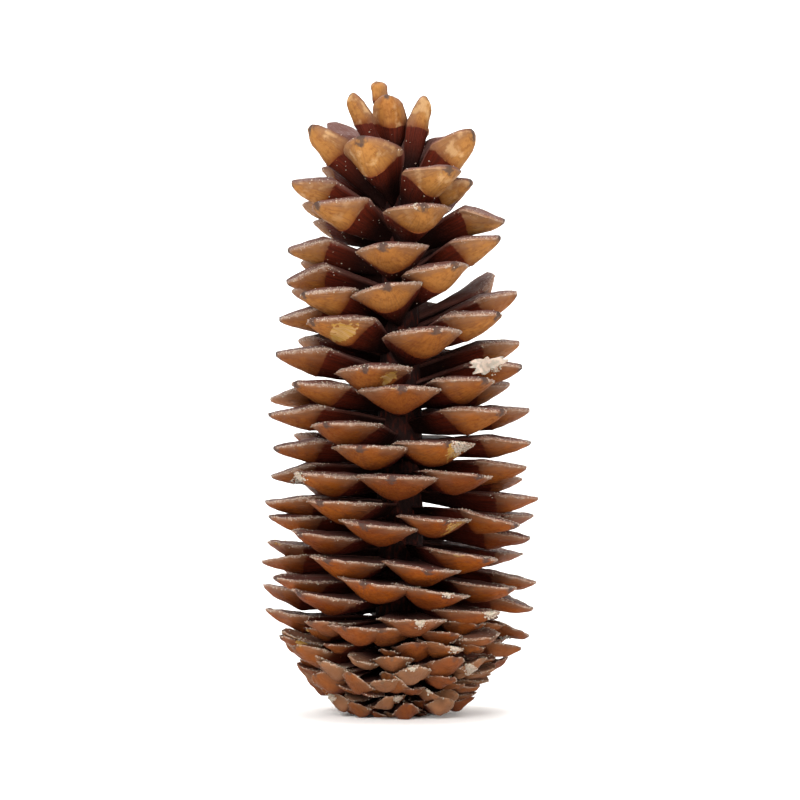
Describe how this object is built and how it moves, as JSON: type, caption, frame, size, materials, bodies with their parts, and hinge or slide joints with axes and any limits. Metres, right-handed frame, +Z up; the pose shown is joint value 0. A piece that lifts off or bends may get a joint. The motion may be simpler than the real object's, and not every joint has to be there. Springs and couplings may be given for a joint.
{
  "type": "pine cone",
  "caption": "Tall open sugar pine cone standing on its base, with keeled woody scales set in spirals round a slim axis.",
  "frame": {"origin": "centre of the cut stem stub's flat face, on the surface that the cone stands on", "axes": "+Z up along the cone's axis, from the base to the tip; -Y towards the side that the picture shows; +X to the right of that view"},
  "size_m": [0.1306, 0.1262, 0.3],
  "materials": {
    "cone_wood": "dry woody scales, orange-brown at the ends and dark reddish brown inside, dull"
  },
  "bodies": {
    "root": {"pine_cone": "cone_wood"}
  },
  "joints": []
}
